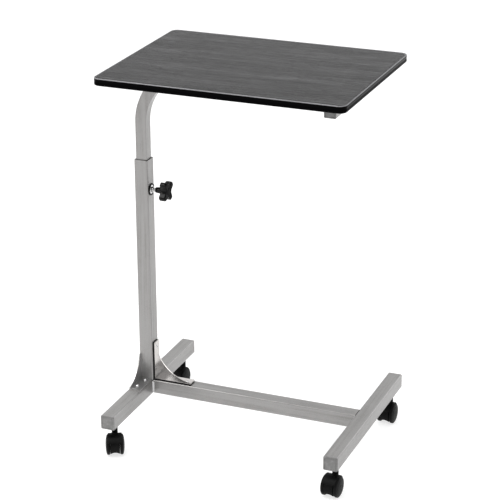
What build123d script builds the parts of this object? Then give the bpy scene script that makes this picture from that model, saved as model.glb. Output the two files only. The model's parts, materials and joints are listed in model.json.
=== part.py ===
from build123d import *
import math
import os

os.makedirs("parts", exist_ok=True)

# Overbed table on a wheeled H base with one telescoping mast at the left side.
# Millimetres. X runs along the table's length, Y through its depth, Z up from the floor.
# The origin is the floor point under the middle of the base, where all symmetry lines cross.

# ---- Table top ----
TOP_LENGTH = 600.0
TOP_DEPTH = 450.0
TOP_THICKNESS = 18.0
TOP_SURFACE_Z = 940.0
TOP_CORNER_R = 18.0
TOP_UNDERSIDE_Z = TOP_SURFACE_Z - TOP_THICKNESS
BAND_WIDTH = 3.5
BAND_EDGE_R = 3.0
BARB_DEPTH = 8.0
BARB_THICKNESS = 2.0

# ---- Base frame: feet, cross bar and outer mast share one square tube ----
TUBE = 35.0
TUBE_WALL = 1.5
TUBE_R = 3.0
FOOT_BOTTOM_Z = 72.0
FOOT_TOP_Z = FOOT_BOTTOM_Z + TUBE
FOOT_LENGTH = 480.0
FOOT_X = 282.5
CAP_FACE = 2.0
CAP_PLUG_DEPTH = 14.0

# ---- Mast ----
MAST_X = -FOOT_X
MAST_RIM_Z = 681.0
MAST_FACE_X = MAST_X + TUBE / 2
MAST_FRONT_Y = -TUBE / 2

# ---- Gooseneck: inner tube that bends over and runs under the top ----
NECK_TUBE = 28.0
NECK_WALL = 1.5
NECK_R = 2.5
NECK_BEND_R = 135.0
NECK_TOP_Z = TOP_UNDERSIDE_Z - NECK_TUBE / 2
NECK_BEND_START_Z = NECK_TOP_Z - NECK_BEND_R
NECK_LOWER_END_Z = 336.0
GLIDE_GAP = 0.3

# ---- Under-top frame ----
CROSSBAR_X = 250.0
CROSSBAR_LENGTH = 356.0
CROSSBAR_LEFT_X = CROSSBAR_X - NECK_TUBE / 2
TAB_X = -100.0
TAB_WIDTH = 34.0
TAB_REACH = 76.0
TAB_THICKNESS = 3.0
SCREW_SHANK_R = 2.2
SCREW_HEAD_R = 4.2
SCREW_HEAD_H = 2.6
SCREW_BITE = 13.0
DRIVER_HOLE_R = 6.0
NECK_SCREW_X = (-20.0, 140.0)
CROSSBAR_SCREW_Y = (-140.0, 140.0)
TAB_SCREW_Y = (-58.0, 58.0)

# ---- Mast lock ----
LOCK_Z = 605.0
STUD_R = 5.0
STUD_BORE_R = 5.06
BOSS_TAIL_R = 9.0
BOSS_DISC_R = 11.0
BOSS_DISC_T = 2.0
BOSS_HUB_R = 7.2
BOSS_HUB_T = 6.5
WASHER_R = 15.0
WASHER_BORE_R = 11.3
WASHER_T = 2.6
PAD_TIP_X = MAST_X + NECK_TUBE / 2 + GLIDE_GAP
PAD_LENGTH = 3.0
KNOB_NECK_X = -252.0
KNOB_HEAD_X = -234.5
KNOB_HEAD_T = 17.0
KNOB_R = 28.0
KNOB_LOBES = 4
KNOB_PHASE = 33.0
KNOB_NECK_R = 6.8
KNOB_SKIRT_R = 9.0
SCALLOP_R = 15.5
SCALLOP_CENTRE_R = 31.0
LOBE_CORNER_R = 3.6

# ---- Corner gussets: large one on the cross bar, small one on the left foot ----
GUSSET_SHEET = 2.5
GUSSET_FLANGE = 26.0
LINER = 3.2
LARGE_LEG = 100.0
SMALL_LEG = 68.0
LARGE_WEB_Y = -14.0
SMALL_WEB_X = -298.0
BOLT_SHANK_R = 2.5
BOLT_HEAD_R = 4.8
BOLT_HEAD_H = 3.2
BOLT_LENGTH = 12.0
LARGE_BOLTS = (48.0, 88.0)
LARGE_BOLT_Y = -5.0
SMALL_BOLTS = ((-281.0, 11.0), (-285.0, 48.0))
SMALL_FLANGE = 30.0
LARGE_TIP = 4.5
SMALL_TIP = 5.0
LARGE_SCOOP = 107.0
SMALL_SCOOP = 95.0
GUSSET_BEND_R = 2.2
LINER_INSET = 0.3
WELD_LEG = 5.0

# ---- Casters: turned about their stems as (name, x, y, turn in degrees) ----
CASTER_Y = 203.0
CASTERS = (
    ("near_left", -FOOT_X, -CASTER_Y, 26.0),
    ("near_right", FOOT_X, -CASTER_Y, -4.0),
    ("far_left", -FOOT_X, CASTER_Y, -6.0),
    ("far_right", FOOT_X, CASTER_Y, -2.0),
)
WHEEL_R = 25.0
WHEEL_TRAIL = 19.0
WHEEL_SIDE_GAP = 0.5
WHEEL_WIDTH = 11.0
WHEEL_TREAD = 6.0
WHEEL_INNER_SHOULDER = 2.6
AXLE_R = 3.0
WHEEL_BORE_R = 3.06
WHEEL_BORE_DEPTH = 8.6
BODY_R = 25.4
BODY_HALF = 11.5
BODY_WALL = 2.2
AXLE_BOSS_R = 6.0
ARCH_HALF_WIDTH = 13.5
ARCH_HEIGHT = 13.0
FENDER_R = 27.8
FENDER_INNER_R = 26.0
FENDER_HALF = 17.0
FENDER_REAR_Z = 38.0
FENDER_FRONT_Z = 24.0
STEM_BOSS_R = 7.5
STEM_BOSS_BOTTOM_Z = 33.0
PIN_R = 5.0
PIN_BORE_R = 5.06
PIN_BOTTOM_Z = 36.0
PIN_TOP_Z = 98.0
SOCKET_R = 7.0
SOCKET_FLANGE_R = 9.5
SOCKET_FLANGE_T = 1.5
SOCKET_TOP_Z = 101.0
SHOULDER_R = 8.0
SHOULDER_T = 2.0


def save(node, shape):
    """Write one named piece."""
    export_step(shape, f"parts/{node}.step")


def at(origin, along, across):
    """Sketch plane at a point: normal along one direction, its x along the other."""
    return Plane(origin=origin, x_dir=across, z_dir=along)


def square_ring(size, wall, radius):
    """Hollow square section with rounded corners."""
    inner = size - 2 * wall
    return RectangleRounded(size, size, radius) - RectangleRounded(inner, inner, radius - wall)


def tube_along_x(size, wall, radius, x0, x1, y, z):
    section = at((x0, y, z), (1, 0, 0), (0, 1, 0)) * square_ring(size, wall, radius)
    return extrude(section, x1 - x0)


def tube_along_y(size, wall, radius, x, y0, y1, z):
    section = at((x, y0, z), (0, 1, 0), (1, 0, 0)) * square_ring(size, wall, radius)
    return extrude(section, y1 - y0)


def tube_along_z(size, wall, radius, x, y, z0, z1):
    section = at((x, y, z0), (0, 0, 1), (1, 0, 0)) * square_ring(size, wall, radius)
    return extrude(section, z1 - z0)


def rod(point, along, radius, length):
    """Round bar from a point along a direction."""
    across = (0, 1, 0) if abs(along[0]) > 0.5 else (1, 0, 0)
    return extrude(at(point, along, across) * Circle(radius), length)


def block(x0, x1, y0, y1, z0, z1):
    """Box between two corners."""
    centre = ((x0 + x1) / 2, (y0 + y1) / 2, (z0 + z1) / 2)
    return Pos(*centre) * Box(x1 - x0, y1 - y0, z1 - z0)


def pan_screw(seat, along, shank_r, head_r, head_h, length):
    """Pan-head screw: its head seats on a point and its shank runs along a direction."""
    back = tuple(-c for c in along)
    head = rod(seat, back, head_r, head_h)
    rim = head.edges().filter_by(GeomType.CIRCLE).sort_by(Axis((0, 0, 0), back))[-1]
    return fillet(rim, head_h * 0.45) + rod(seat, along, shank_r, length)


# ---- Table top: board, edge band and the fixings driven up into the board ----
def screw_seats():
    """Where each wood screw's head seats, as (x, y, z)."""
    inside_wall = TOP_UNDERSIDE_Z - NECK_WALL
    seats = [(x, 0.0, inside_wall) for x in NECK_SCREW_X]
    seats += [(CROSSBAR_X, y, inside_wall) for y in CROSSBAR_SCREW_Y]
    seats += [(TAB_X, y, TOP_UNDERSIDE_Z - TAB_THICKNESS) for y in TAB_SCREW_Y]
    return seats


def build_top():
    inner_length = TOP_LENGTH - 2 * BAND_WIDTH
    inner_depth = TOP_DEPTH - 2 * BAND_WIDTH
    inner_r = TOP_CORNER_R - BAND_WIDTH
    inner_plan = RectangleRounded(inner_length, inner_depth, inner_r)
    outer_plan = RectangleRounded(TOP_LENGTH, TOP_DEPTH, TOP_CORNER_R)
    groove_plan = RectangleRounded(
        inner_length - 2 * BARB_DEPTH, inner_depth - 2 * BARB_DEPTH, inner_r - BARB_DEPTH
    )
    barb_z = TOP_UNDERSIDE_Z + TOP_THICKNESS / 2 - BARB_THICKNESS / 2
    barb = Pos(0, 0, barb_z) * extrude(inner_plan - groove_plan, BARB_THICKNESS)

    board = Pos(0, 0, TOP_UNDERSIDE_Z) * extrude(inner_plan, TOP_THICKNESS) - barb
    for x, y, z in screw_seats():
        board -= rod((x, y, z), (0, 0, 1), SCREW_SHANK_R, SCREW_BITE)
    save("tabletop_board", board)

    band = Pos(0, 0, TOP_UNDERSIDE_Z) * extrude(outer_plan, TOP_THICKNESS)
    outer_edges = band.edges().group_by(Axis.Z)[0] + band.edges().group_by(Axis.Z)[-1]
    band = fillet(outer_edges, BAND_EDGE_R)
    band -= Pos(0, 0, TOP_UNDERSIDE_Z) * extrude(inner_plan, TOP_THICKNESS)
    save("edge_band", band + barb)

    screws = [
        pan_screw(seat, (0, 0, 1), SCREW_SHANK_R, SCREW_HEAD_R, SCREW_HEAD_H, SCREW_BITE)
        for seat in screw_seats()
    ]
    save("tabletop_screws", Compound(children=screws))


# ---- Gooseneck and the frame welded to it under the top ----
def build_neck():
    section = square_ring(NECK_TUBE, NECK_WALL, NECK_R)
    upright = tube_along_z(
        NECK_TUBE, NECK_WALL, NECK_R, MAST_X, 0, NECK_LOWER_END_Z, NECK_BEND_START_Z
    )
    bend_centre = (MAST_X + NECK_BEND_R, 0, NECK_BEND_START_Z)
    bend_face = at((MAST_X, 0, NECK_BEND_START_Z), (0, 0, 1), (1, 0, 0)) * section
    bend = revolve(bend_face, Axis(bend_centre, (0, 1, 0)), 90)
    run = tube_along_x(
        NECK_TUBE, NECK_WALL, NECK_R, MAST_X + NECK_BEND_R, CROSSBAR_LEFT_X, 0, NECK_TOP_Z
    )
    neck = upright + bend + run
    for x in NECK_SCREW_X:
        neck -= rod((x, 0, NECK_TOP_Z - NECK_TUBE), (0, 0, 1), DRIVER_HOLE_R, NECK_TUBE)
        neck -= rod((x, 0, NECK_TOP_Z), (0, 0, 1), SCREW_SHANK_R, NECK_TUBE)
    save("gooseneck_tube", neck)

    inner = NECK_TUBE - 2 * NECK_WALL
    guide = TUBE - 2 * TUBE_WALL - 2 * GLIDE_GAP
    plug = Pos(0, 0, NECK_LOWER_END_Z) * extrude(RectangleRounded(inner, inner, 1.0), 18)
    shoe = Pos(0, 0, NECK_LOWER_END_Z - 16) * extrude(RectangleRounded(guide, guide, 1.4), 16)
    save("neck_glide_shoe", Pos(MAST_X, 0, 0) * (plug + shoe))

    half = CROSSBAR_LENGTH / 2
    bar = tube_along_y(
        NECK_TUBE, NECK_WALL, NECK_R, CROSSBAR_X, CAP_FACE - half, half - CAP_FACE, NECK_TOP_Z
    )
    for y in CROSSBAR_SCREW_Y:
        bar -= rod((CROSSBAR_X, y, NECK_TOP_Z - NECK_TUBE), (0, 0, 1), DRIVER_HOLE_R, NECK_TUBE)
        bar -= rod((CROSSBAR_X, y, NECK_TOP_Z), (0, 0, 1), SCREW_SHANK_R, NECK_TUBE)
    save("top_crossbar", bar)
    save("crossbar_cap_near", end_cap(NECK_TUBE, NECK_WALL, NECK_R, CROSSBAR_X, -half, NECK_TOP_Z, 1))
    save("crossbar_cap_far", end_cap(NECK_TUBE, NECK_WALL, NECK_R, CROSSBAR_X, half, NECK_TOP_Z, -1))

    tabs = []
    for side in (-1, 1):
        y0, y1 = sorted((side * NECK_TUBE / 2, side * TAB_REACH))
        tab = block(
            TAB_X - TAB_WIDTH / 2, TAB_X + TAB_WIDTH / 2, y0, y1,
            TOP_UNDERSIDE_Z - TAB_THICKNESS, TOP_UNDERSIDE_Z,
        )
        outer = tab.edges().filter_by(Axis.Z).group_by(Axis.Y)[0 if side < 0 else -1]
        tab = fillet(outer, 6)
        hole = (TAB_X, side * TAB_SCREW_Y[1], TOP_UNDERSIDE_Z - TAB_THICKNESS)
        tabs.append(tab - rod(hole, (0, 0, 1), SCREW_SHANK_R, TAB_THICKNESS))
    save("mounting_tabs", Compound(children=tabs))


def end_cap(size, wall, radius, x, y, z, inward):
    """Plug for a tube along Y: face plate at y, plug reaching inward (+1 or -1 along Y)."""
    direction = (0, inward, 0)
    plate = extrude(at((x, y, z), direction, (1, 0, 0)) * RectangleRounded(size, size, radius), CAP_FACE)
    outer = plate.faces().sort_by(Axis((0, 0, 0), direction))[0]
    plate = fillet(outer.edges(), 0.8)
    inner = size - 2 * wall
    start = (x, y + inward * CAP_FACE, z)
    plug = at(start, direction, (1, 0, 0)) * RectangleRounded(inner, inner, radius - wall)
    return plate + extrude(plug, CAP_PLUG_DEPTH)


# ---- Mast: outer tube, guide bushing and lock ----
def build_mast():
    mast = tube_along_z(TUBE, TUBE_WALL, TUBE_R, MAST_X, 0, FOOT_TOP_Z, MAST_RIM_Z)
    mast -= rod((MAST_FACE_X - TUBE_WALL - 2, 0, LOCK_Z), (1, 0, 0), BOSS_TAIL_R, TUBE_WALL + 4)
    large, small = gusset_bolt_seats()
    save("outer_mast", bolt_holes(mast, large))

    outer = TUBE - 2 * TUBE_WALL
    opening = NECK_TUBE + 2 * GLIDE_GAP
    sleeve = RectangleRounded(outer, outer, TUBE_R - TUBE_WALL)
    sleeve -= RectangleRounded(opening, opening, NECK_R + GLIDE_GAP)
    save("guide_bushing", Pos(MAST_X, 0, MAST_RIM_Z - 50.4) * extrude(sleeve, 50))

    tail = rod((MAST_FACE_X - TUBE_WALL, 0, LOCK_Z), (1, 0, 0), BOSS_TAIL_R, TUBE_WALL)
    disc = rod((MAST_FACE_X, 0, LOCK_Z), (1, 0, 0), BOSS_DISC_R, BOSS_DISC_T)
    rim = disc.edges().filter_by(GeomType.CIRCLE).sort_by(Axis.X)[-1]
    disc = fillet(rim, 1.0)
    hub = rod((MAST_FACE_X + BOSS_DISC_T, 0, LOCK_Z), (1, 0, 0), BOSS_HUB_R, BOSS_HUB_T)
    rim = hub.edges().filter_by(GeomType.CIRCLE).sort_by(Axis.X)[-1]
    hub = chamfer(rim, 1.2)
    bore = rod((MAST_FACE_X - TUBE_WALL - 1, 0, LOCK_Z), (1, 0, 0), STUD_BORE_R, 20)
    save("lock_boss", tail + disc + hub - bore)

    washer = rod((MAST_FACE_X, 0, LOCK_Z), (1, 0, 0), WASHER_R, WASHER_T)
    rim = washer.edges().filter_by(GeomType.CIRCLE).sort_by(Axis.X)[-1]
    washer = fillet(rim, 1.4)
    save("lock_washer", washer - rod((MAST_FACE_X, 0, LOCK_Z), (1, 0, 0), WASHER_BORE_R, WASHER_T))

    save("clamp_pad", rod((PAD_TIP_X, 0, LOCK_Z), (1, 0, 0), STUD_R, PAD_LENGTH))
    stud_start = PAD_TIP_X + PAD_LENGTH + GLIDE_GAP
    stud_end = KNOB_HEAD_X + 7
    save("lock_stud", rod((stud_start, 0, LOCK_Z), (1, 0, 0), STUD_R, stud_end - stud_start))
    save("lock_knob", build_knob(stud_end))


def build_knob(stud_end):
    """Star-shaped hand knob on the lock axis with a tapered neck, bored for the stud."""
    plan = Circle(KNOB_R)
    for i in range(KNOB_LOBES):
        angle = KNOB_PHASE + 360.0 / KNOB_LOBES * (i + 0.5)
        plan -= Rot(0, 0, angle) * Pos(SCALLOP_CENTRE_R, 0, 0) * Circle(SCALLOP_R)
    plan = fillet(plan.vertices(), LOBE_CORNER_R)
    head_plane = at((KNOB_HEAD_X, 0, LOCK_Z), (1, 0, 0), (0, 1, 0))
    head = extrude(head_plane * plan, KNOB_HEAD_T)
    faces = head.faces().filter_by(Axis.X)
    head = fillet(faces.edges(), 1.8)
    neck_plane = at((KNOB_NECK_X, 0, LOCK_Z), (1, 0, 0), (0, 1, 0))
    neck_length = KNOB_HEAD_X - KNOB_NECK_X + 1.0
    top_plane = at((KNOB_NECK_X + neck_length, 0, LOCK_Z), (1, 0, 0), (0, 1, 0))
    neck = loft([neck_plane * Circle(KNOB_NECK_R), top_plane * Circle(KNOB_SKIRT_R)])
    knob = head + neck
    return knob - rod((KNOB_NECK_X - 1, 0, LOCK_Z), (1, 0, 0), STUD_R, stud_end - KNOB_NECK_X + 1)


# ---- Base frame ----
def build_base():
    large, small = gusset_bolt_seats()
    half = FOOT_LENGTH / 2
    z = FOOT_BOTTOM_Z + TUBE / 2
    for side, x in (("left", -FOOT_X), ("right", FOOT_X)):
        foot = tube_along_y(TUBE, TUBE_WALL, TUBE_R, x, CAP_FACE - half, half - CAP_FACE, z)
        for y in (-CASTER_Y, CASTER_Y):
            foot -= rod((x, y, FOOT_BOTTOM_Z - 1), (0, 0, 1), SOCKET_R, TUBE / 2)
        if side == "left":
            foot = bolt_holes(foot, small)
        save(f"foot_{side}", foot)
        save(f"foot_cap_{side}_near", end_cap(TUBE, TUBE_WALL, TUBE_R, x, -half, z, 1))
        save(f"foot_cap_{side}_far", end_cap(TUBE, TUBE_WALL, TUBE_R, x, half, z, -1))

    reach = FOOT_X - TUBE / 2
    bar = tube_along_x(TUBE, TUBE_WALL, TUBE_R, -reach, reach, 0, z)
    save("cross_bar", bolt_holes(bar, large))

    welds = []
    for sx in (-1, 1):
        for sy in (-1, 1):
            corner = (sx * reach, sy * TUBE / 2)
            bead = rod((*corner, FOOT_BOTTOM_Z + TUBE_R), (0, 0, 1), WELD_LEG, TUBE - 2 * TUBE_R)
            x0, x1 = sorted((corner[0], corner[0] - sx * WELD_LEG))
            y0, y1 = sorted((corner[1], corner[1] + sy * WELD_LEG))
            welds.append(bead & block(x0, x1, y0, y1, FOOT_BOTTOM_Z, FOOT_TOP_Z))
    save("frame_welds", Compound(children=welds))


# ---- Gussets ----
def gusset_bolt_seats():
    """Bolts of the large and the small gusset, each as (point under its head, direction of its shank)."""
    lift = LINER + GUSSET_SHEET
    large = []
    for d in LARGE_BOLTS:
        large.append(((MAST_FACE_X + d, LARGE_BOLT_Y, FOOT_TOP_Z + lift), (0, 0, -1)))
        large.append(((MAST_FACE_X + lift, LARGE_BOLT_Y, FOOT_TOP_Z + d), (-1, 0, 0)))
    small = [
        ((x, MAST_FRONT_Y - d, FOOT_TOP_Z + GUSSET_SHEET), (0, 0, -1)) for x, d in SMALL_BOLTS
    ]
    return large, small


def gusset_web(plane, leg, tip, scoop):
    """Scooped corner plate lying on the plane, its square corner at the plane's origin."""
    scoop_r = math.hypot(scoop - leg, scoop - tip)
    outline = make_face(Polyline((0, 0), (leg, 0), (leg, tip), (tip, leg), (0, leg), close=True))
    return extrude(plane * (outline - Pos(scoop, scoop) * Circle(scoop_r)), GUSSET_SHEET)


def folded(plate, plane, bends):
    """Round the outside of the longest straight bends on the plate's outer face."""
    outer_face = plate.faces().sort_by(Axis(plane.origin, plane.z_dir))[0]
    edges = outer_face.edges().filter_by(GeomType.LINE).sort_by(SortBy.LENGTH)[-bends:]
    return fillet(edges, GUSSET_BEND_R)


def bolt_holes(shape, holes):
    """Cut a hole through the shape along each bolt."""
    for seat, along in holes:
        back = tuple(s - 8 * a for s, a in zip(seat, along))
        shape -= rod(back, along, BOLT_SHANK_R, BOLT_LENGTH + 8)
    return shape


def build_large_gusset(holes):
    """Plate in the corner of mast and cross bar, both flanges folded back over a rubber liner."""
    plane = at(
        (MAST_FACE_X + LINER, LARGE_WEB_Y, FOOT_TOP_Z + LINER), (0, 1, 0), (0, 0, 1)
    )
    leg = LARGE_LEG - LINER
    upright = plane * Pos(leg / 2, GUSSET_SHEET / 2) * Rectangle(leg, GUSSET_SHEET)
    lying = plane * Pos(GUSSET_SHEET / 2, leg / 2) * Rectangle(GUSSET_SHEET, leg)
    plate = gusset_web(plane, leg, LARGE_TIP, LARGE_SCOOP)
    plate += extrude(upright, GUSSET_FLANGE) + extrude(lying, GUSSET_FLANGE)
    save("gusset_crossbar", bolt_holes(folded(plate, plane, 2), holes))

    width = GUSSET_FLANGE - 2 * LINER_INSET
    back = plane.offset(LINER_INSET)
    length = leg + LINER
    upright = back * Pos(leg / 2 - LINER / 2, -LINER / 2) * Rectangle(length, LINER)
    lying = back * Pos(-LINER / 2, leg / 2) * Rectangle(LINER, leg)
    liner = extrude(upright, width) + extrude(lying, width)
    save("gusset_liner", bolt_holes(liner, holes))


def build_small_gusset(holes):
    """Plate standing on the left foot against the mast's front, one flange folded over the foot."""
    plane = at((SMALL_WEB_X, MAST_FRONT_Y, FOOT_TOP_Z), (1, 0, 0), (0, 0, 1))
    lying = plane * Pos(GUSSET_SHEET / 2, SMALL_LEG / 2) * Rectangle(GUSSET_SHEET, SMALL_LEG)
    plate = gusset_web(plane, SMALL_LEG, SMALL_TIP, SMALL_SCOOP) + extrude(lying, SMALL_FLANGE)
    outer_face = plate.faces().sort_by(Axis(plane.origin, plane.z_dir))[0]
    bend = outer_face.edges().filter_by(GeomType.LINE).filter_by(Axis.Y).sort_by(Axis.Z)[0]
    save("gusset_foot", bolt_holes(fillet(bend, GUSSET_BEND_R), holes))


def build_gussets():
    large, small = gusset_bolt_seats()
    build_large_gusset(large)
    build_small_gusset(small)
    for name, holes in (("crossbar", large), ("foot", small)):
        bolts = [
            pan_screw(seat, along, BOLT_SHANK_R, BOLT_HEAD_R, BOLT_HEAD_H, BOLT_LENGTH)
            for seat, along in holes
        ]
        save(f"gusset_bolts_{name}", Compound(children=bolts))


# ---- Casters, drawn about the stem axis with the wheels trailing towards -Y ----
def caster_socket():
    """Nylon socket pushed up into the foot, with a flange under it."""
    body = rod((0, 0, FOOT_BOTTOM_Z), (0, 0, 1), SOCKET_R, SOCKET_TOP_Z - FOOT_BOTTOM_Z)
    flange_z = FOOT_BOTTOM_Z - SOCKET_FLANGE_T
    flange = rod((0, 0, flange_z), (0, 0, 1), SOCKET_FLANGE_R, SOCKET_FLANGE_T)
    return body + flange - rod((0, 0, flange_z), (0, 0, 1), PIN_R, PIN_TOP_Z - flange_z)


def caster_stem():
    """Steel pin held in the socket, with the shoulder that carries the load."""
    shoulder_z = FOOT_BOTTOM_Z - SOCKET_FLANGE_T - SHOULDER_T
    pin = rod((0, 0, PIN_BOTTOM_Z), (0, 0, 1), PIN_R, PIN_TOP_Z - PIN_BOTTOM_Z)
    return pin + rod((0, 0, shoulder_z), (0, 0, 1), SHOULDER_R, SHOULDER_T)


def slice_on_axle(radius, half_width):
    """Round slice on the wheel axis."""
    return rod((-half_width, -WHEEL_TRAIL, WHEEL_R), (1, 0, 0), radius, 2 * half_width)


def caster_hood():
    """Swivel body: housing between the wheels, fender over them, bosses for pin and axle."""
    fender = slice_on_axle(FENDER_R, FENDER_HALF)
    wide = FENDER_HALF + 1
    reach = 2 * FENDER_R
    fender -= block(-wide, wide, -WHEEL_TRAIL - reach, -WHEEL_TRAIL, -reach, FENDER_REAR_Z)
    fender -= block(-wide, wide, -WHEEL_TRAIL, -WHEEL_TRAIL + reach, -reach, FENDER_FRONT_Z)
    hood = fender + slice_on_axle(BODY_R, BODY_HALF)
    wells = slice_on_axle(FENDER_INNER_R, wide) - slice_on_axle(FENDER_INNER_R + 1, BODY_HALF)
    hood -= wells
    arch_plane = at((0, -WHEEL_TRAIL - reach, 0), (0, 1, 0), (1, 0, 0))
    hood -= extrude(arch_plane * Ellipse(ARCH_HALF_WIDTH, ARCH_HEIGHT), 2 * reach)

    collar_top = FOOT_BOTTOM_Z - SOCKET_FLANGE_T - SHOULDER_T - GLIDE_GAP
    boss = rod((0, 0, STEM_BOSS_BOTTOM_Z), (0, 0, 1), STEM_BOSS_R, collar_top - STEM_BOSS_BOTTOM_Z)
    hood -= slice_on_axle(BODY_R - BODY_WALL, BODY_HALF - BODY_WALL)
    hood += boss + slice_on_axle(AXLE_BOSS_R, BODY_HALF)
    hood -= slice_on_axle(AXLE_R, BODY_HALF + 1)
    bore_z = PIN_BOTTOM_Z - GLIDE_GAP
    return hood - rod((0, 0, bore_z), (0, 0, 1), PIN_BORE_R, collar_top - bore_z)


def caster_wheel():
    """One wheel on the X axis: flat inside at x = 0, tread, domed outside, blind axle bore."""
    dome_width = WHEEL_WIDTH - WHEEL_TREAD
    dome = EllipticalCenterArc((WHEEL_TREAD, 0), dome_width, WHEEL_R, 0, arc_size=90)
    sides = Polyline((WHEEL_TREAD, WHEEL_R), (0, WHEEL_R), (0, 0), (WHEEL_WIDTH, 0))
    wheel = revolve(make_face([dome, sides]), Axis.X, 360)
    rims = wheel.edges().filter_by(GeomType.CIRCLE).sort_by(Axis.X)
    wheel = fillet(rims[0], WHEEL_INNER_SHOULDER)
    return wheel - rod((0, 0, 0), (1, 0, 0), WHEEL_BORE_R, WHEEL_BORE_DEPTH)


def build_casters():
    axle_centre = Pos(0, -WHEEL_TRAIL, WHEEL_R)
    half_axle = BODY_HALF + WHEEL_SIDE_GAP + WHEEL_BORE_DEPTH - 0.3
    axle = axle_centre * rod((-half_axle, 0, 0), (1, 0, 0), AXLE_R, 2 * half_axle)
    outward = Pos(BODY_HALF + WHEEL_SIDE_GAP, 0, 0) * caster_wheel()
    wheel_b = axle_centre * outward
    wheel_a = axle_centre * Rot(0, 0, 180) * outward
    pieces = (
        ("socket", caster_socket()),
        ("stem", caster_stem()),
        ("hood", caster_hood()),
        ("axle", axle),
        ("wheel_a", wheel_a),
        ("wheel_b", wheel_b),
    )
    for name, x, y, turn in CASTERS:
        for piece, shape in pieces:
            save(f"caster_{name}_{piece}", Pos(x, y, 0) * Rot(0, 0, turn) * shape)


build_top()
build_neck()
build_mast()
build_base()
build_gussets()
build_casters()
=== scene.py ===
"""Looks of an overbed table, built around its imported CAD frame.

The frame is in metres, +Z up, floor at z = 0. Sizes of pieces are in millimetres here, and a mesh is
scaled to metres when it is done. Stage, lights and camera are in metres.
"""

import json
import math

import bmesh
import bpy
from mathutils import Matrix, Vector


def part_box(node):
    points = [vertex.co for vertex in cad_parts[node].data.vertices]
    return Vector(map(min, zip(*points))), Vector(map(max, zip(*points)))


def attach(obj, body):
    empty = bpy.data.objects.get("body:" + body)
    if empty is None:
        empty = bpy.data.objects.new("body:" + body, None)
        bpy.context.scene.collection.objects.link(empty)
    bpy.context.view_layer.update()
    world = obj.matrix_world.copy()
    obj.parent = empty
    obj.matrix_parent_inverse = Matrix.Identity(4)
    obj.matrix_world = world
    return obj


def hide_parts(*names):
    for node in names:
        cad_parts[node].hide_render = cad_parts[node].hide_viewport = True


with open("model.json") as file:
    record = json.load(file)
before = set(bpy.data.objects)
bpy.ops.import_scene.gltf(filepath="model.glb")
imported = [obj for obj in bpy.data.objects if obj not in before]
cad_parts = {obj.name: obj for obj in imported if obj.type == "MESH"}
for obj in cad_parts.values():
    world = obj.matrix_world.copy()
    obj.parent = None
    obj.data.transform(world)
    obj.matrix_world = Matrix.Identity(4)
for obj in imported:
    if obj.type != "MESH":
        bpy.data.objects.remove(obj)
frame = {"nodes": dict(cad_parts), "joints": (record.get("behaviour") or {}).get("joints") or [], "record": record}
NODES = frame["nodes"]
JOINTS = {joint["name"]: joint for joint in frame["joints"]}
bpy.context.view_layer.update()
MM = 0.001


def cad_box(node):
    """Lowest and highest corner of a CAD node at rest, in millimetres."""
    return [tuple(round(value / MM, 3) for value in corner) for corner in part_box(node)]


# ---- Table top ----
EDGING_LOW, EDGING_HIGH = cad_box("edge_band")
TOP_LENGTH = EDGING_HIGH[0] - EDGING_LOW[0]
TOP_DEPTH = EDGING_HIGH[1] - EDGING_LOW[1]
TOP_Z = EDGING_HIGH[2]
TOP_THICKNESS = TOP_Z - EDGING_LOW[2]
TOP_CORNER_R = 18.0
TOP_CORNER_STEPS = 14
BAND_WIDTH = EDGING_HIGH[0] - cad_box("tabletop_board")[1][0]
PAINTED_HIGHLIGHT_DEPTH = 3.4  # how far down the edging's shoulder the painted highlight reaches

# ---- Tubes and gussets ----
TUBE_R = 3.0  # corner radius of the feet, the cross bar and the mast
NECK_R = 2.5  # corner radius of the thinner tubes above
BAR_LOW, BAR_HIGH = cad_box("cross_bar")
MAST_LOW, MAST_HIGH = cad_box("outer_mast")
GUSSET_SHEET = 2.5
LARGE_GUSSET_LOW = cad_box("gusset_crossbar")[0]
SMALL_GUSSET_LOW = cad_box("gusset_foot")[0]

# ---- Lock knob ----
LOCK_AXIS = Matrix.Translation((0.0, 0.0, JOINTS["knob_turn"]["pos_m"][2]))
KNOB_BACK_X = cad_box("lock_knob")[0][0]
KNOB_FACE_X = cad_box("lock_knob")[1][0]
KNOB_HEAD_T = 17.0
KNOB_R = 28.0
KNOB_LOBES = 4
KNOB_PHASE = 33.0  # degrees from the Y axis to the first lobe
SCALLOP_R = 15.5
SCALLOP_CENTRE_R = 31.0

# ---- Casters ----
CASTERS = ("near_left", "near_right", "far_left", "far_right")
WHEEL_R = 25.0
WHEEL_WIDTH = 11.0
WHEEL_TREAD = 6.0  # width up to where the domed side starts
WHEEL_TRAIL = 19.0  # how far the axle stands behind the pin
WHEEL_INNER_X = 12.0  # from the middle of the caster to each wheel's inner side
HOOD_VOXEL = 0.55
HOOD_SMOOTHING = 9  # passes


# ======== Materials ========
# Colours are linear. Noise scales are per metre and depths of relief are in metres.
PAINT_DARK, PAINT_LIGHT = (0.203, 0.196, 0.190), (0.326, 0.321, 0.318)
PATTERN_SHIFT = (3.17, 1.73, 0.41)  # takes a drawn-out pattern from another part of the noise


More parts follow.
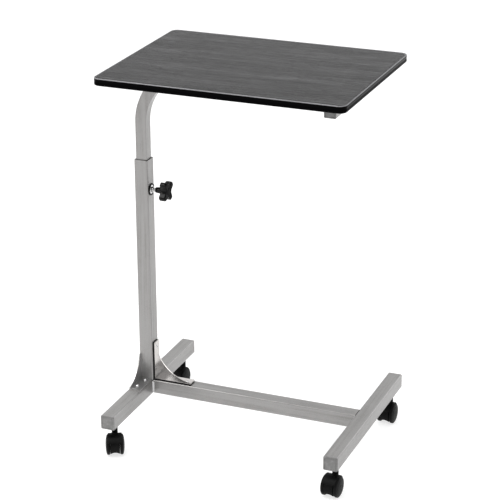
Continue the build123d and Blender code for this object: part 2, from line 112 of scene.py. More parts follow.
class Finish:
    """A node material: one Principled surface, and short calls that add nodes to it."""

    def __init__(self, name, **sockets):
        self.material = bpy.data.materials.new(name)
        self.material.use_nodes = True
        self.tree = self.material.node_tree
        self.surface = self.tree.nodes["Principled BSDF"]
        for key, value in sockets.items():
            self.surface.inputs[key.replace("_", " ")].default_value = value
        self.object_space = self.tree.nodes.new("ShaderNodeTexCoord").outputs["Object"]

    def link(self, output, socket):
        self.tree.links.new(output, socket)

    def stretched(self, scale):
        """Object space scaled along its axes: a small number draws the pattern out along that axis."""
        mapping = self.tree.nodes.new("ShaderNodeMapping")
        mapping.inputs["Location"].default_value = PATTERN_SHIFT
        mapping.inputs["Scale"].default_value = scale
        self.link(self.object_space, mapping.inputs["Vector"])
        return mapping.outputs["Vector"]

    def noise(self, scale, detail=4.0, roughness=0.55, stretch=None, distortion=0.0):
        node = self.tree.nodes.new("ShaderNodeTexNoise")
        node.inputs["Scale"].default_value = scale
        node.inputs["Detail"].default_value = detail
        node.inputs["Roughness"].default_value = roughness
        node.inputs["Distortion"].default_value = distortion
        space = self.stretched(stretch) if stretch else self.object_space
        self.link(space, node.inputs["Vector"])
        return node.outputs["Fac"]

    def cells(self, scale):
        node = self.tree.nodes.new("ShaderNodeTexVoronoi")
        node.inputs["Scale"].default_value = scale
        self.link(self.object_space, node.inputs["Vector"])
        return node.outputs["Distance"]

    def ramp(self, value, stops):
        """Colour stops (place, colour), where a plain number stands for a grey."""
        node = self.tree.nodes.new("ShaderNodeValToRGB")
        elements = node.color_ramp.elements
        while len(elements) < len(stops):
            elements.new(0.5)
        for element, (place, color) in zip(elements, stops):
            element.position = place
            shade = color if isinstance(color, tuple) else (color, color, color)
            element.color = (*shade, 1.0)
        self.link(value, node.inputs["Fac"])
        return node.outputs["Color"]

    def math(self, operation, a, b):
        node = self.tree.nodes.new("ShaderNodeMath")
        node.operation = operation
        for socket, value in zip(node.inputs, (a, b)):
            if isinstance(value, (int, float)):
                socket.default_value = value
            else:
                self.link(value, socket)
        return node.outputs["Value"]

    def weighted(self, *shares):
        """Sum of (output, share) pairs."""
        total = None
        for output, share in shares:
            part = self.math("MULTIPLY", output, share)
            total = part if total is None else self.math("ADD", total, part)
        return total

    def spread(self, value, low, high, start=0.0, end=1.0):
        """A value remapped, and clamped, from start..end to low..high."""
        node = self.tree.nodes.new("ShaderNodeMapRange")
        node.inputs["From Min"].default_value = start
        node.inputs["From Max"].default_value = end
        node.inputs["To Min"].default_value = low
        node.inputs["To Max"].default_value = high
        self.link(value, node.inputs["Value"])
        return node.outputs["Result"]

    def along(self, axis, start, end):
        """0 to 1 as an object space coordinate goes from start to end, in millimetres."""
        split = self.tree.nodes.new("ShaderNodeSeparateXYZ")
        self.link(self.object_space, split.inputs["Vector"])
        return self.spread(split.outputs[axis], 0.0, 1.0, start * MM, end * MM)

    def color(self, output):
        self.link(output, self.surface.inputs["Base Color"])

    def roughness(self, output):
        self.link(output, self.surface.inputs["Roughness"])

    def relief(self, *layers):
        """Bump from (height, depth) layers, one after the other."""
        normal = None
        for height, depth in layers:
            bump = self.tree.nodes.new("ShaderNodeBump")
            bump.inputs["Distance"].default_value = depth
            self.link(height, bump.inputs["Height"])
            if normal is not None:
                self.link(normal, bump.inputs["Normal"])
            normal = bump.outputs["Normal"]
        self.link(normal, self.surface.inputs["Normal"])


def silver_paint(name, along):
    """Silver powder coat on drawn tube: metal flake, orange peel and long streaks along the tube."""
    look = Finish(name, Metallic=0.72, Coat_Weight=0.1, Coat_Roughness=0.22)
    stretch = tuple(0.03 if axis == along else 1.0 for axis in "XYZ")
    cloud = look.noise(11.0, 4.0, 0.6)
    flake = look.cells(1300.0)
    streak = look.noise(150.0, 4.0, 0.6, stretch)
    peel = look.noise(420.0, 2.0)
    mixed = look.weighted((cloud, 0.3), (flake, 0.4), (streak, 0.6))
    look.color(look.ramp(mixed, [(0.38, PAINT_DARK), (0.72, PAINT_LIGHT)]))
    look.roughness(look.spread(look.noise(60.0, 5.0), 0.28, 0.44))
    look.relief((peel, 0.00006), (streak, 0.00008))
    return look.material


def bright_plate(name, dark, light, roughness, stretch):
    """Plated or bare steel: fine rolling lines along one axis and soft clouding."""
    look = Finish(name, Metallic=1.0)
    lines = look.noise(900.0, 3.0, stretch=stretch)
    mixed = look.weighted((lines, 0.5), (look.noise(35.0, 4.0), 0.5))
    look.color(look.ramp(mixed, [(0.25, dark), (0.75, light)]))
    look.roughness(look.spread(mixed, *roughness))
    look.relief((lines, 0.00002))
    return look.material


def moulded(name, base, roughness, grain, specular=0.5):
    """Injection-moulded plastic: eroded grain (scale, depth), cloudy gloss, faint lighter scuffs."""
    look = Finish(name, Specular_IOR_Level=specular)
    grain_scale, grain_depth = grain
    lighter = tuple(c * 1.7 + 0.003 for c in base)
    look.color(look.ramp(look.noise(90.0, 6.0, 0.7), [(0.45, base), (0.8, lighter)]))
    look.roughness(look.spread(look.noise(45.0, 4.0), *roughness))
    look.relief((look.noise(grain_scale, 2.0), grain_depth))
    return look.material


def black_laminate():
    """Black open-pore wood laminate: long streaks along X, short pores, satin sheen."""
    look = Finish("black_laminate", Specular_IOR_Level=0.32)
    broad = look.noise(30.0, 4.0, 0.62, (0.12, 1.0, 1.0), 0.5)
    streak = look.noise(190.0, 5.0, 0.68, (0.05, 1.0, 1.0), 0.2)
    pore = look.noise(520.0, 2.0, 0.5, (0.035, 1.0, 1.0))
    grain = look.weighted((broad, 0.45), (streak, 0.55))
    dark, middle, pale = (0.003, 0.003, 0.0033), (0.009, 0.009, 0.0095), (0.034, 0.034, 0.0355)
    look.color(look.ramp(grain, [(0.40, dark), (0.5, middle), (0.62, pale)]))
    look.roughness(look.spread(look.math("SUBTRACT", 1.0, grain), 0.18, 0.5))
    cut = look.ramp(pore, [(0.42, 0.0), (0.52, 1.0)])
    look.relief((grain, 0.0019), (cut, 0.0007))
    return look.material


def black_edging():
    """Extruded black edging: fine draw lines, and a painted highlight on the upper shoulder, whose colour is made
    pale grey.

    Its index of refraction is low, so that the side stays nearly black where it faces the light.
    """
    look = Finish("black_edging", IOR=1.07)
    cloud = look.noise(30.0, 4.0)
    height = look.along("Z", TOP_Z - PAINTED_HIGHLIGHT_DEPTH, TOP_Z)
    shoulder = look.ramp(height, [(0.3, 0.0), (0.48, 1.0), (0.94, 1.0), (1.0, 0.4)])
    # Painted highlight: the shoulder's base colour goes to pale grey where the rolled lip catches the light,
    # varied by cloud noise
    painted_highlight = look.math("MULTIPLY", shoulder, look.spread(cloud, 0.6, 1.2))
    look.color(look.ramp(painted_highlight, [(0.0, (0.0016, 0.0016, 0.0018)), (1.0, (0.235, 0.235, 0.243))]))
    look.roughness(look.spread(cloud, 0.12, 0.22))
    look.relief((look.noise(700.0, 2.0, stretch=(1.0, 1.0, 3.0)), 0.00002))
    return look.material


def wheel_plastic():
    """Hard black wheel: matt, with paler dust and scuffs."""
    look = Finish("wheel_plastic", Specular_IOR_Level=0.09)
    dust = look.noise(70.0, 7.0, 0.72)
    look.color(look.ramp(dust, [(0.4, 0.003), (0.62, 0.006), (0.8, (0.016, 0.016, 0.015))]))
    look.roughness(look.spread(dust, 0.34, 0.56))
    look.relief((look.noise(800.0, 3.0), 0.00004))
    return look.material


def knob_plastic():
    """Glossy black knob with a matt, finely textured front face."""
    look = Finish("knob_plastic", Specular_IOR_Level=0.17)
    cloud = look.noise(60.0, 4.0)
    face = look.along("X", KNOB_FACE_X - 1.9, KNOB_FACE_X - 0.9)
    look.color(look.ramp(cloud, [(0.4, 0.0018), (0.7, 0.004)]))
    look.roughness(look.math("ADD", look.spread(cloud, 0.1, 0.2), look.math("MULTIPLY", face, 0.68)))
    look.relief((look.noise(900.0, 2.0), 0.00003))
    return look.material


MATERIALS = {
    "silver_tube": silver_paint("silver_tube", "Z"),
    "bright_steel": bright_plate(
        "bright_steel", (0.45, 0.435, 0.425), (0.64, 0.615, 0.60), (0.08, 0.2), (1.0, 1.0, 0.05)),
    "chrome_steel": bright_plate(
        "chrome_steel", (0.62, 0.62, 0.62), (0.78, 0.78, 0.78), (0.2, 0.32), (1.0, 1.0, 0.3)),
    "zinc_steel": bright_plate(
        "zinc_steel", (0.42, 0.43, 0.45), (0.6, 0.61, 0.63), (0.28, 0.45), (1.0, 0.2, 1.0)),
    "grey_plastic": moulded("grey_plastic", (0.172, 0.171, 0.169), (0.42, 0.56), (900.0, 0.00004)),
    "black_plastic": moulded("black_plastic", (0.002, 0.002, 0.002), (0.1, 0.18), (500.0, 0.00002), 0.06),
    "caster_plastic": moulded("caster_plastic", (0.002, 0.002, 0.002), (0.42, 0.56), (700.0, 0.00003), 0.1),
    "wheel_plastic": wheel_plastic(),
    "nylon": moulded("nylon", (0.010, 0.010, 0.010), (0.35, 0.5), (600.0, 0.00003), 0.3),
    "black_rubber": moulded("black_rubber", (0.005, 0.005, 0.005), (0.6, 0.8), (1200.0, 0.00006), 0.2),
    "black_laminate": black_laminate(),
    "black_edging": black_edging(),
}
KNOB_PLASTIC = knob_plastic()
WELD_METAL = bright_plate(
    "weld_metal", (0.5, 0.5, 0.5), (0.72, 0.72, 0.72), (0.25, 0.4), (1.0, 1.0, 1.0))
SATIN_STEEL = bright_plate(
    "bright_steel_satin", (0.47, 0.47, 0.47), (0.66, 0.66, 0.66), (0.26, 0.4), (1.0, 1.0, 0.05))
PAINT_ALONG_X = silver_paint("silver_tube_x", "X")
PAINT_ALONG_Y = silver_paint("silver_tube_y", "Y")

# CAD nodes whose finish differs from that of their slot, mostly by the direction of its streaks
NODE_FINISHES = {
    "gusset_foot": SATIN_STEEL,
    "cross_bar": PAINT_ALONG_X,
    "foot_left": PAINT_ALONG_Y,
    "foot_right": PAINT_ALONG_Y,
    "top_crossbar": PAINT_ALONG_Y,
}


def finish_cad_nodes():
    for part in frame["record"]["subparts"]:
        materials = NODES[part["node"]].data.materials
        materials.clear()
        materials.append(NODE_FINISHES.get(part["node"], MATERIALS[part["material_slot"]]))


# ======== Mesh building ========
POLE_R = 0.02  # radius of the last loop of a turned shape, which its cap closes


def to_mesh(name, bm, sharp=34.0, merge=0.00001):
    """A mesh in metres from a bmesh in millimetres: smooth faces, creases past a number of degrees."""
    bmesh.ops.remove_doubles(bm, verts=bm.verts, dist=merge)
    bmesh.ops.recalc_face_normals(bm, faces=bm.faces)
    bm.normal_update()
    for face in bm.faces:
        face.smooth = True
    for edge in bm.edges:
        edge.smooth = len(edge.link_faces) == 2 and edge.calc_face_angle(0.0) < math.radians(sharp)
    bmesh.ops.scale(bm, vec=(MM, MM, MM), verts=bm.verts)
    mesh = bpy.data.meshes.new(name)
    bm.to_mesh(mesh)
    bm.free()
    return mesh


def add_piece(name, mesh, body, slot, replaces, place=None, material=None):
    """Add a piece that stands for CAD nodes and rides on their body. Its place goes into its mesh."""
    if place is not None:
        mesh = mesh.copy()
        mesh.transform(place)
    mesh.materials.append(material or MATERIALS[slot])
    obj = bpy.data.objects.new(name, mesh)
    bpy.context.scene.collection.objects.link(obj)
    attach(obj, body)
    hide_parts(*replaces)


def skin(rings, closed=False):
    """Join loops of equal length in turn. Both ends are capped unless the last loop joins the first."""
    bm = bmesh.new()
    loops = [[bm.verts.new(point) for point in ring] for ring in rings]
    count = len(loops[0])
    pairs = list(zip(loops, loops[1:]))
    if closed:
        pairs.append((loops[-1], loops[0]))
    for a, b in pairs:
        for i in range(count):
            j = (i + 1) % count
            bm.faces.new((a[i], a[j], b[j], b[i]))
    if not closed:
        bm.faces.new(loops[0])
        bm.faces.new(loops[-1])
    return bm


def rounded_loop(width, depth, radius, steps):
    """Points of a rounded rectangle, the same count for any size."""
    points = []
    for turn, (sx, sy) in enumerate(((1, 1), (-1, 1), (-1, -1), (1, -1))):
        cx, cy = sx * (width / 2 - radius), sy * (depth / 2 - radius)
        for k in range(steps + 1):
            a = math.pi / 2 * (turn + k / steps)
            points.append((cx + radius * math.cos(a), cy + radius * math.sin(a)))
    return points


def arc(cx, cy, radius, start, end, steps):
    """Points on a circle from one angle to another, in degrees."""
    angles = [math.radians(start + (end - start) * k / steps) for k in range(steps + 1)]
    return [(cx + radius * math.cos(a), cy + radius * math.sin(a)) for a in angles]


def turn_angles(steps):
    """Even angles once round a circle."""
    return [2 * math.pi * k / steps for k in range(steps)]


def ring_on_x(x, radii):
    """A loop round the X axis through the given radii, at even angles."""
    return [(x, r * math.cos(a), r * math.sin(a)) for r, a in zip(radii, turn_angles(len(radii)))]


def turned_rings(profile, steps):
    """Round loops on the X axis through (x, radius) points."""
    return [ring_on_x(x, [r] * steps) for x, r in profile]


def smoothstep(value, low, high):
    t = min(max((value - low) / (high - low), 0.0), 1.0)
    return t * t * (3 - 2 * t)


# ======== Table top ========
def top_ring(inset, z):
    """The top's outline at a height below its surface, drawn in from the outer edge."""
    plan = rounded_loop(
        TOP_LENGTH - 2 * inset, TOP_DEPTH - 2 * inset, TOP_CORNER_R - inset, TOP_CORNER_STEPS)
    return [(x, y, TOP_Z + z) for x, y in plan]


def build_board():
    """Laminated board: both faces roll down into the joint with the edging."""
    # (distance in from the joint, height below the surface)
    roll = [(4.4, 0.0), (3.1, -0.12), (1.9, -0.46), (1.0, -1.0), (0.45, -1.75), (0.2, -2.6)]
    profile = roll + [(inset, -TOP_THICKNESS - z) for inset, z in reversed(roll)]
    bm = skin([top_ring(BAND_WIDTH + inset, z) for inset, z in profile])
    mesh = to_mesh("laminate_board", bm, sharp=60)
    add_piece("laminate_board", mesh, "upper", "black_laminate", ["tabletop_board"])


def build_edging():
    """Edging round the board: a rolled shoulder that rises out of the joint, a fluted side, a rolled foot."""
    roll_r, overshoot, flute = 2.9, 0.55, 0.28
    # (distance out from the joint, height below the surface)
    outline = [(0.0, -2.6), (0.35, -2.2), (0.6, -1.3), (0.85, -0.6), (1.15, -0.15), (1.45, 0.0)]
    shoulder = arc(BAND_WIDTH - roll_r + overshoot, -roll_r, roll_r, 78, 0, 8)
    outline += [(min(out, BAND_WIDTH), z) for out, z in shoulder]
    outline += [(BAND_WIDTH, -6.2), (BAND_WIDTH - flute, -6.8)]
    outline += [(BAND_WIDTH - flute, -11.2), (BAND_WIDTH, -11.8)]
    outline += arc(BAND_WIDTH - roll_r, roll_r - TOP_THICKNESS, roll_r, 0, -80, 7)
    outline += [(0.0, -TOP_THICKNESS + 0.6)]
    bm = skin([top_ring(BAND_WIDTH - out, z) for out, z in outline], closed=True)
    add_piece("top_edging", to_mesh("top_edging", bm), "upper", "black_edging", ["edge_band"])


# ======== End plugs ========
def build_plug(name, node, body, tube_r):
    """Tube plug in the place of a CAD cap: chamfered rim, square groove, flat middle."""
    neck_depth, flange_back, tube_wall, groove_in = 16.0, 2.0, 1.5, 5.2
    low, high = cad_box(node)
    size = high[0] - low[0]
    inner = size - 2 * tube_wall
    neck = rounded_loop(inner, inner, max(tube_r - tube_wall, 1.0), 5)
    rings = [[(x, y, z) for x, z in neck] for y in (neck_depth, flange_back)]
    # (distance in from the tube's side, distance back from the outer face)
    stations = [(0.0, flange_back), (0.0, 0.75), (0.22, 0.22), (0.75, 0.0), (2.9, 0.0), (3.15, 0.12)]
    stations += [(3.45, 0.75), (4.35, 0.75), (4.6, 0.15), (groove_in, 0.0)]
    middle_in = size / 2 - 1.5
    stations += [(groove_in + (middle_in - groove_in) * k / 5, 0.0) for k in range(1, 6)]
    for inset, back in stations:
        width = size - 2 * inset
        corner = max(tube_r - 0.55 * inset, 0.9)
        rings.append([(x, back, z) for x, z in rounded_loop(width, width, corner, 5)])
    x, z = (low[0] + high[0]) / 2, (low[2] + high[2]) / 2
    if node.endswith("_near"):
        place = Matrix.Translation(Vector((x, low[1], z)) * MM)
    else:
        place = Matrix.Translation(Vector((x, high[1], z)) * MM) @ Matrix.Rotation(math.pi, 4, "Z")
    add_piece(name, to_mesh(name, skin(rings), sharp=50), body, "grey_plastic", [node], place)


def build_plugs():
    for side in ("left", "right"):
        for end in ("near", "far"):
            build_plug(f"plug_{side}_{end}", f"foot_cap_{side}_{end}", "base", TUBE_R)
    for end in ("near", "far"):
        build_plug(f"crossbar_plug_{end}", f"crossbar_cap_{end}", "upper", NECK_R)


# ======== Lock knob and its stud ========
def star_outline(steps):
    """Radius of the knob's star outline at even angles, its corners rounded by local averaging."""
    pitch = 2 * math.pi / KNOB_LOBES
    first_scallop = math.radians(KNOB_PHASE) + pitch / 2
    raw = []
    for angle in turn_angles(steps):
        away = abs((angle - first_scallop + pitch / 2) % pitch - pitch / 2)
        cross = SCALLOP_CENTRE_R * math.sin(away)
        radius = KNOB_R
        if cross < SCALLOP_R:
            bite = SCALLOP_CENTRE_R * math.cos(away) - math.sqrt(SCALLOP_R ** 2 - cross ** 2)
            radius = min(radius, bite)
        raw.append(radius)
    reach = steps // KNOB_LOBES // 9
    offsets = range(-reach, reach + 1)
    weights = [math.exp(-2.5 * (j / reach) ** 2) for j in offsets]
    total = sum(weights)
    return [sum(w * raw[(k + j) % steps] for w, j in zip(weights, offsets)) / total for k in range(steps)]


def build_knob():
    """Moulded star knob with a tapered neck and a shallow dished face with a centre cap."""
    back, front = KNOB_FACE_X - KNOB_HEAD_T, KNOB_FACE_X
    steps = 288
    # (x, radius) along the neck
    neck = [(KNOB_BACK_X, 5.1), (KNOB_BACK_X, 6.2), (KNOB_BACK_X + 0.6, 6.8), (KNOB_BACK_X + 9.0, 7.6)]
    neck += [(back - 3.0, 8.5), (back - 1.0, 9.4), (back, 11.0)]
    # (x, inset from the star outline) over the back edge, the side and the front edge
    star = [(back, 3.0), (back + 0.3, 1.6), (back + 1.1, 0.6), (back + 2.4, 0.0), (back + 8.0, 0.0)]
    star += [(front - 3.2, 0.0), (front - 1.7, 0.4), (front - 0.7, 1.2), (front - 0.1, 2.4), (front, 3.6)]
    # (x, radius) over the groove and the centre cap
    cap = [(front - 0.1, 11.0), (front - 0.9, 10.2), (front - 1.0, 9.2), (front - 0.3, 8.6)]
    cap += [(front, 7.6), (front, 4.0), (front, POLE_R)]
    outline = star_outline(steps)
    rings = turned_rings(neck, steps)
    rings += [ring_on_x(x, [r - inset for r in outline]) for x, inset in star]
    rings += turned_rings(cap, steps)
    mesh = to_mesh("hand_knob", skin(rings), sharp=50)
    add_piece("hand_knob", mesh, "lock_knob", "black_plastic", ["lock_knob"], LOCK_AXIS, KNOB_PLASTIC)


def build_stud():
    """Stud with a real helical thread."""
    pitch, crest_r, root_r = 1.5, 5.0, 4.15
    start_x, end_x = -265.2, -228.0
    steps, stations_per_turn = 32, 12
    stations = int((end_x - start_x) / pitch * stations_per_turn)
    rings = []
    for n in range(stations + 1):
        x = start_x + (end_x - start_x) * n / stations
        radii = []
        for k in range(steps):
            phase = ((x - start_x) / pitch - k / steps) % 1.0
            tooth = 1 - abs(2 * phase - 1)
            radii.append(root_r + (crest_r - root_r) * min(1.0, tooth * 1.25))
        rings.append(ring_on_x(x, radii))
    mesh = to_mesh("threaded_stud", skin(rings), sharp=60)
    add_piece("threaded_stud", mesh, "lock_knob", "chrome_steel", ["lock_stud"], LOCK_AXIS)


# ======== Screws ========
def screw_mesh():
    """Round-head screw with a cross recess, head along +X from its seat at x = 0."""
    head_r, head_h, rim_h, shank_r, length = 4.8, 3.2, 0.7, 2.5, 12.0
    steps = 72

    def recess(x, r, a):
        """How deep the cross is cut into the head at this point."""
        if x < rim_h + 0.05:
            return 0.0
        u, v = abs(r * math.cos(a)), abs(r * math.sin(a))
        arm = 1 - smoothstep(min(u, v), 0.5, 0.85)
        inside = 1 - smoothstep(max(u, v), 2.3, 2.8)
        return max(1.7 * arm * inside * (1 - 0.35 * max(u, v) / 2.6), 0.0)

    # (x, radius) from the tip to the middle of the head
    profile = [(-length, POLE_R), (-length, shank_r - 0.4), (-length + 0.5, shank_r), (0.0, shank_r)]
    profile += [(0.0, head_r - 0.25), (0.15, head_r), (rim_h, head_r)]
    for degrees in range(6, 90, 4):
        a = math.radians(degrees)
        profile.append((rim_h + (head_h - rim_h) * math.sin(a), head_r * math.cos(a)))
    profile.append((head_h, POLE_R))
    angles = turn_angles(steps)
    rings = [[(x - recess(x, r, a), r * math.cos(a), r * math.sin(a)) for a in angles] for x, r in profile]
    return to_mesh("gusset_screw", skin(rings), sharp=40, merge=0.0001)


def screw_seats():
    """(node, name, seat, outward direction) of the screws through the gussets' flanges."""
    up, right = Vector((0, 0, 1)), Vector((1, 0, 0))
    large_y, large_reaches = -5.0, (48.0, 88.0)
    small_places = ((-281.0, 11.0), (-285.0, 48.0))
    mast_face, mast_front, foot_top = MAST_HIGH[0], MAST_LOW[1], MAST_LOW[2]
    flange_x, flange_z = LARGE_GUSSET_LOW[0] + GUSSET_SHEET, LARGE_GUSSET_LOW[2] + GUSSET_SHEET
    seats = []
    for i, reach in enumerate(large_reaches):
        low = (mast_face + reach, large_y, flange_z)
        high = (flange_x, large_y, foot_top + reach)
        seats.append(("gusset_bolts_crossbar", f"screw_bar_low_{i}", low, up))
        seats.append(("gusset_bolts_crossbar", f"screw_bar_high_{i}", high, right))
    for i, (x, reach) in enumerate(small_places):
        seat = (x, mast_front - reach, SMALL_GUSSET_LOW[2] + GUSSET_SHEET)
        seats.append(("gusset_bolts_foot", f"screw_foot_{i}", seat, up))
    return seats


def build_screws():
    mesh = screw_mesh()
    for i, (node, name, seat, out) in enumerate(screw_seats()):
        turn = Vector((1, 0, 0)).rotation_difference(out).to_matrix().to_4x4()
        twist = Matrix.Rotation(math.radians(17 + 31 * i), 4, "X")
        place = Matrix.Translation(Vector(seat) * MM) @ turn @ twist
        add_piece(name, mesh, "base", "chrome_steel", [node], place)


# ======== Weld beads ========
def weld_ring(t, sx, sy):
    """Cross-section of a bead at a fraction of its height, in the corner on the sx and sy side."""
    leg, root_sink, edge_sink, end_gap = 5.0, 0.6, 0.4, 2.6
    cols, ripples = 10, 15
    z = BAR_LOW[2] + end_gap + (BAR_HIGH[2] - BAR_LOW[2] - 2 * end_gap) * t
    foot_x, bar_y = BAR_HIGH[0], BAR_HIGH[1]
    ripple = abs(math.sin(math.pi * t * ripples)) ** 0.6
    taper = min(1.0, smoothstep(t, -0.02, 0.05), smoothstep(1 - t, -0.02, 0.05))
    r = (leg - 0.9 + 0.55 * ripple) * (0.35 + 0.65 * taper)
    ring = [(sx * (foot_x + root_sink), sy * (bar_y - root_sink), z)]
    for k in range(cols + 1):
        a = math.pi / 2 * k / cols
        bulge = r * (0.78 + 0.14 * abs(math.cos(2 * a)))
        x = foot_x - bulge * math.cos(a) if k < cols else foot_x + edge_sink
        y = bar_y + bulge * math.sin(a) if k > 0 else bar_y - edge_sink
        ring.append((sx * x, sy * y, z))
    return ring


def build_welds():
    """Rippled fillet beads in the four corners between cross bar and feet."""
    rows = 110
    for number, (sx, sy) in enumerate(((-1, -1), (-1, 1), (1, -1), (1, 1))):
        name = f"weld_bead_{number}"
        bm = skin([weld_ring(n / rows, sx, sy) for n in range(rows + 1)])
        mesh = to_mesh(name, bm, sharp=60)
        add_piece(name, mesh, "base", "silver_tube", ["frame_welds"], material=WELD_METAL)


# ======== Casters ========
def wheel_mesh():
    """One wheel on X: recessed inner web, rounded tread, domed outside with two ring grooves."""
    steps, tread_r, bore_r, bore_depth = 120, 2.6, 3.1, 8.6
    outer_groove, hub_groove = 18.2, 6.4

    def dome_x(r):
        groove = 0.45 * math.exp(-((r - outer_groove) / 0.55) ** 2)
        groove += 0.5 * math.exp(-((r - hub_groove) / 0.5) ** 2)
        return WHEEL_TREAD + (WHEEL_WIDTH - WHEEL_TREAD) * math.sqrt(1 - (r / WHEEL_R) ** 2) - groove

    # (x, radius) from the axle's blind hole over the inner side, the tread and the dome
    profile = [(bore_depth, POLE_R), (bore_depth, bore_r), (0.0, bore_r), (0.0, 6.2), (0.9, 6.8)]
    profile += [(0.9, 20.0), (0.0, 20.8)]
    profile += arc(tread_r, WHEEL_R - tread_r, tread_r, 180, 90, 6)
    profile += [(tread_r + 1.0, WHEEL_R), (WHEEL_TREAD - 0.6, WHEEL_R)]
    radii = [WHEEL_R * math.sin(math.radians(degrees)) for degrees in range(84, 0, -3)]
    radii += [outer_groove + away for away in (-0.7, -0.3, 0.0, 0.3, 0.7)]
    radii += [hub_groove + away for away in (-0.6, -0.3, 0.0, 0.3, 0.6)]
    profile += [(dome_x(r), r) for r in sorted(radii, reverse=True)]
    profile.append((WHEEL_WIDTH, POLE_R))
    return to_mesh("caster_wheel", skin(turned_rings(profile, steps)), sharp=38, merge=0.05)


def caster_stand(name):
    """Where a caster's own frame stands: under its pin on the floor, with X along its axle."""
    x, y, _ = JOINTS[f"swivel_{name}"]["pos_m"]
    axle = JOINTS[f"spin_{name}_a"]["axis"]
    turn = round(math.degrees(math.atan2(axle[1], axle[0])), 3)
    return Matrix.Translation((x, y, 0)) @ Matrix.Rotation(math.radians(turn), 4, "Z")


def hood_mesh():
    """The moulded hood: the CAD hood's shape with every edge rolled over."""
    mesh = NODES["caster_far_right_hood"].data.copy()
    mesh.transform(caster_stand("far_right").inverted())
    shape = bpy.data.objects.new("hood_shape", mesh)
    bpy.context.scene.collection.objects.link(shape)
    remesh = shape.modifiers.new("skin", "REMESH")
    remesh.mode = "VOXEL"
    remesh.voxel_size = HOOD_VOXEL * MM
    smooth = shape.modifiers.new("roll", "SMOOTH")
    smooth.factor = 0.5
    smooth.iterations = HOOD_SMOOTHING
    evaluated = shape.evaluated_get(bpy.context.evaluated_depsgraph_get())
    hood = bpy.data.meshes.new_from_object(evaluated)
    bpy.data.objects.remove(shape)
    hood.materials.clear()
    for polygon in hood.polygons:
        polygon.use_smooth = True
    return hood


def build_casters():
    wheel, hood = wheel_mesh(), hood_mesh()
    half_turn = Matrix.Rotation(math.pi, 4, "Z")
    out = Matrix.Translation((WHEEL_INNER_X * MM, 0, 0))
    for name in CASTERS:
        stand = caster_stand(name)
        add_piece(f"hood_{name}", hood, f"caster_{name}", "caster_plastic", [f"caster_{name}_hood"], stand)
        hub = stand @ Matrix.Translation((0, -WHEEL_TRAIL * MM, WHEEL_R * MM))
        for letter, place in (("b", hub @ out), ("a", hub @ half_turn @ out)):
            piece_and_body = f"wheel_{name}_{letter}"
            node = f"caster_{name}_wheel_{letter}"
            add_piece(piece_and_body, wheel, piece_and_body, "wheel_plastic", [node], place)


# ======== Stage, light and camera, in metres ========
WHITE = (1.0, 1.0, 1.0)
FLOOR_HALF = 40.0
FLOOR_Z = -0.0004
DOME_LOW, DOME_HIGH = 0.30, 0.85  # strength of the dome from just below the horizon to overhead
LIGHT_TARGET = (0.0, 0.0, 0.45)
# name, place, size, watts, colour
LIGHTS = (
    ("overhead", (-0.7, -0.5, 3.1), (2.6, 2.6), 82.0, WHITE),
    ("back", (0.0, 3.6, 2.0), (6.4, 1.6), 17.0, WHITE),
    ("rim", (1.75, 3.6, 1.5), (2.6, 1.9), 27.0, WHITE),
    ("key", (-2.6, -2.4, 2.2), (1.2, 1.6), 22.0, (1.0, 0.95, 0.89)),
)
CAMERA_PLACE = (1.559965, -3.863843, 2.141240)
CAMERA_YAW, CAMERA_PITCH, CAMERA_ROLL = 0.386, 0.378, -0.005  # radians
CAMERA_LENS, CAMERA_SENSOR = 136.29, 36.0  # millimetres


def build_stage():
    """A pale floor that gives off a little light, so that it is as white as the backdrop."""
    bm = bmesh.new()
    bmesh.ops.create_grid(bm, x_segments=1, y_segments=1, size=FLOOR_HALF)
    mesh = bpy.data.meshes.new("floor")
    bm.to_mesh(mesh)
    bm.free()
    pale = Finish("pale_floor", Roughness=0.7, Specular_IOR_Level=0.1, Emission_Strength=0.72)
    pale.surface.inputs["Base Color"].default_value = (0.42, 0.42, 0.42, 1.0)
    pale.surface.inputs["Emission Color"].default_value = (*WHITE, 1.0)
    mesh.materials.append(pale.material)
    floor = bpy.data.objects.new("floor", mesh)
    floor.location = (0, 0, FLOOR_Z)
    bpy.context.scene.collection.objects.link(floor)


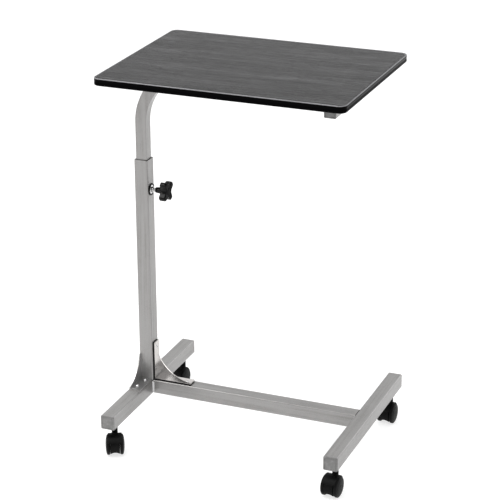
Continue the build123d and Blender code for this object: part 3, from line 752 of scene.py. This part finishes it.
def build_world():
    """White backdrop for the eye, a dome that is bright overhead and dim low down for the rest."""
    world = bpy.data.worlds.new("studio")
    world.use_nodes = True
    tree = world.node_tree
    backdrop = tree.nodes["Background"]
    backdrop.inputs["Color"].default_value = (*WHITE, 1.0)
    backdrop.inputs["Strength"].default_value = 1.0
    direction = tree.nodes.new("ShaderNodeTexCoord").outputs["Generated"]
    split = tree.nodes.new("ShaderNodeSeparateXYZ")
    tree.links.new(direction, split.inputs["Vector"])
    height = tree.nodes.new("ShaderNodeMapRange")
    height.inputs["From Min"].default_value = -0.1
    height.inputs["From Max"].default_value = 0.9
    height.inputs["To Min"].default_value = DOME_LOW
    height.inputs["To Max"].default_value = DOME_HIGH
    tree.links.new(split.outputs["Z"], height.inputs["Value"])
    dome = tree.nodes.new("ShaderNodeBackground")
    dome.inputs["Color"].default_value = (*WHITE, 1.0)
    tree.links.new(height.outputs["Result"], dome.inputs["Strength"])
    seen = tree.nodes.new("ShaderNodeLightPath").outputs["Is Camera Ray"]
    choose = tree.nodes.new("ShaderNodeMixShader")
    tree.links.new(seen, choose.inputs[0])
    tree.links.new(dome.outputs["Background"], choose.inputs[1])
    tree.links.new(backdrop.outputs["Background"], choose.inputs[2])
    tree.links.new(choose.outputs["Shader"], tree.nodes["World Output"].inputs["Surface"])
    bpy.context.scene.world = world


def build_lights():
    for name, place, size, watts, color in LIGHTS:
        data = bpy.data.lights.new(name, "AREA")
        data.shape = "RECTANGLE"
        data.size, data.size_y = size
        data.energy = watts
        data.color = color
        lamp = bpy.data.objects.new(name, data)
        lamp.location = place
        towards = Vector(LIGHT_TARGET) - Vector(place)
        lamp.rotation_euler = towards.to_track_quat("-Z", "Y").to_euler()
        bpy.context.scene.collection.objects.link(lamp)


def build_camera():
    """The photograph's viewpoint. The Standard view adds no film curve to the colours."""
    yaw, pitch, roll = CAMERA_YAW, CAMERA_PITCH, CAMERA_ROLL
    level = Vector((math.cos(yaw), math.sin(yaw), 0.0))
    forward = Vector((
        -math.sin(yaw) * math.cos(pitch), math.cos(yaw) * math.cos(pitch), -math.sin(pitch)))
    upright = level.cross(forward)
    right = level * math.cos(roll) + upright * math.sin(roll)
    up = upright * math.cos(roll) - level * math.sin(roll)
    turn = Matrix((right, up, -forward)).transposed().to_4x4()
    data = bpy.data.cameras.new("camera")
    data.sensor_width = CAMERA_SENSOR
    data.lens = CAMERA_LENS
    data.clip_end = 100.0
    camera = bpy.data.objects.new("camera", data)
    camera.matrix_world = Matrix.Translation(CAMERA_PLACE) @ turn
    bpy.context.scene.collection.objects.link(camera)
    bpy.context.scene.camera = camera
    bpy.context.scene.view_settings.view_transform = "Standard"


finish_cad_nodes()
build_board()
build_edging()
build_plugs()
build_knob()
build_stud()
build_screws()
build_welds()
build_casters()
build_stage()
build_world()
build_lights()
build_camera()
